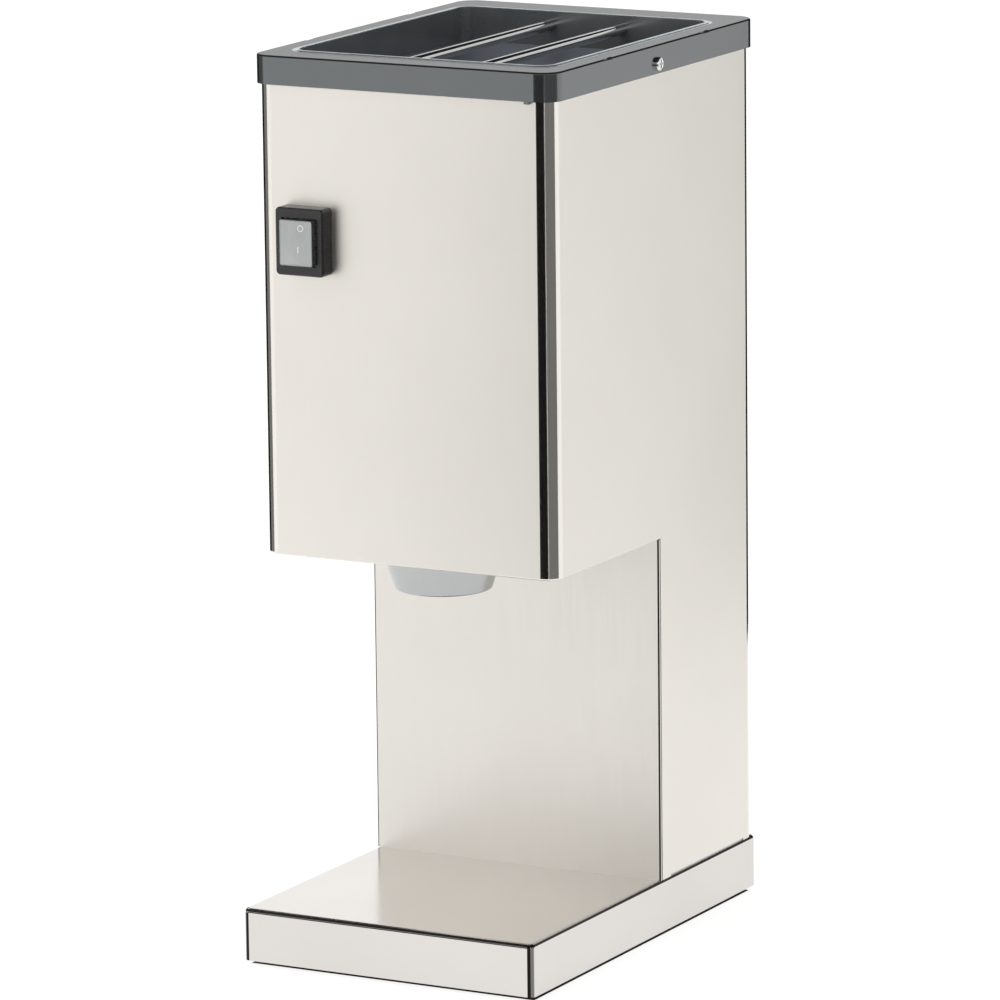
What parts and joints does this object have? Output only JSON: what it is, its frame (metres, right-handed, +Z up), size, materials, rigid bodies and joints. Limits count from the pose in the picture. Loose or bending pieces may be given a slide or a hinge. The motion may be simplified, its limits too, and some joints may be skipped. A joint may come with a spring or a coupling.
{
  "type": "electric ice crusher",
  "caption": "Electric ice crusher with an open hopper, toothed rotor, geared motor, spout and rocker switch, on a column over a base tray.",
  "frame": {"origin": "middle of the footprint, on the surface that the rubber skids stand on", "axes": "+Z up, +Y to the back, +X to the right seen from the front"},
  "size_m": [0.1894, 0.2782, 0.5013],
  "materials": {
    "stainless": "soft satin",
    "black_plastic": "satin moulded",
    "polished_steel": "polished",
    "rubber": "matte",
    "spout_metal": "satin",
    "cast_aluminium": "as cast",
    "tool_steel": "ground",
    "zinc_screws": "zinc plated",
    "zinc_sheet": "zinc plated",
    "gasket_paper": "matte",
    "laminations": "matte",
    "copper_wire": "enamelled",
    "brass": "plain",
    "fan_plastic": "matte",
    "white_plastic": "moulded",
    "switch_black": "moulded",
    "clear_boot": "soft, half clear",
    "sleeve": "matte",
    "chute_plastic": "satin moulded"
  },
  "bodies": {
    "cabinet": {"base_tray": "stainless", "base_plate": "zinc_sheet", "base_plate_screws": "zinc_screws", "rubber_skids": "rubber", "column_foot": "zinc_sheet", "column_bolts": "zinc_screws", "body_shell": "stainless", "bay_panel": "stainless", "chassis_plate": "zinc_sheet", "chassis_screws": "zinc_screws", "rear_cover": "stainless", "rear_cover_screws": "polished_steel", "rivet_nuts": "zinc_screws", "hopper_rim": "black_plastic", "rim_screws": "polished_steel", "guard_rods": "polished_steel", "hopper_chute": "chute_plastic", "chute_screws": "zinc_screws", "spout": "spout_metal", "chamber_housing": "cast_aluminium", "chamber_cover": "cast_aluminium", "chamber_cover_screws": "zinc_screws", "crusher_comb": "tool_steel", "comb_screws": "zinc_screws", "front_bearing": "polished_steel", "shaft_seal": "rubber", "rear_bearing": "polished_steel", "gearbox_housing": "cast_aluminium", "gearbox_gasket": "gasket_paper", "gearbox_cover": "cast_aluminium", "gearbox_cover_screws": "zinc_screws", "idler_axle": "tool_steel", "motor_front_bell": "cast_aluminium", "motor_rear_bell": "cast_aluminium", "motor_bearings": "polished_steel", "stator_core": "laminations", "stator_windings": "copper_wire", "motor_tie_bolts": "zinc_screws", "motor_cradle": "zinc_sheet", "start_capacitor": "white_plastic", "capacitor_clamp": "zinc_sheet", "terminal_block": "white_plastic", "cord_gland": "black_plastic", "wiring_looms": "sleeve", "switch_frame": "switch_black", "switch_body": "switch_black", "switch_terminals": "brass", "switch_boot": "clear_boot"},
    "crusher_rotor": {"crusher_shaft": "tool_steel", "crusher_blades": "tool_steel", "blade_spacers": "tool_steel", "shaft_nut": "zinc_screws", "output_gear": "tool_steel"},
    "idler_gears": {"idler_pinion": "tool_steel", "idler_wheel": "tool_steel"},
    "motor_rotor": {"motor_shaft": "tool_steel", "motor_pinion": "tool_steel", "rotor_core": "laminations", "cooling_fan": "fan_plastic"},
    "rocker": {"switch_rocker": "switch_black"}
  },
  "joints": [
    {"name": "motor_spin", "type": "hinge", "parent": "cabinet", "child": "motor_rotor", "pos_m": [0, 0.06, 0.3093], "axis": [0, 1, 0], "continuous": true},
    {"name": "idler_spin", "type": "hinge", "parent": "cabinet", "child": "idler_gears", "pos_m": [0.03182, -0.008, 0.27748], "axis": [0, 1, 0], "continuous": true},
    {"name": "rotor_spin", "type": "hinge", "parent": "cabinet", "child": "crusher_rotor", "pos_m": [0, -0.0697, 0.3093], "axis": [0, 1, 0], "continuous": true},
    {"name": "rocker_tilt", "type": "hinge", "parent": "cabinet", "child": "rocker", "pos_m": [-0.0589, -0.1123, 0.4014], "axis": [1, 0, 0], "range_deg": [0, 18]}
  ],
  "couplings": [
    {"joint": "idler_spin", "follows": "motor_spin", "ratio": -0.2},
    {"joint": "rotor_spin", "follows": "motor_spin", "ratio": 0.05}
  ]
}
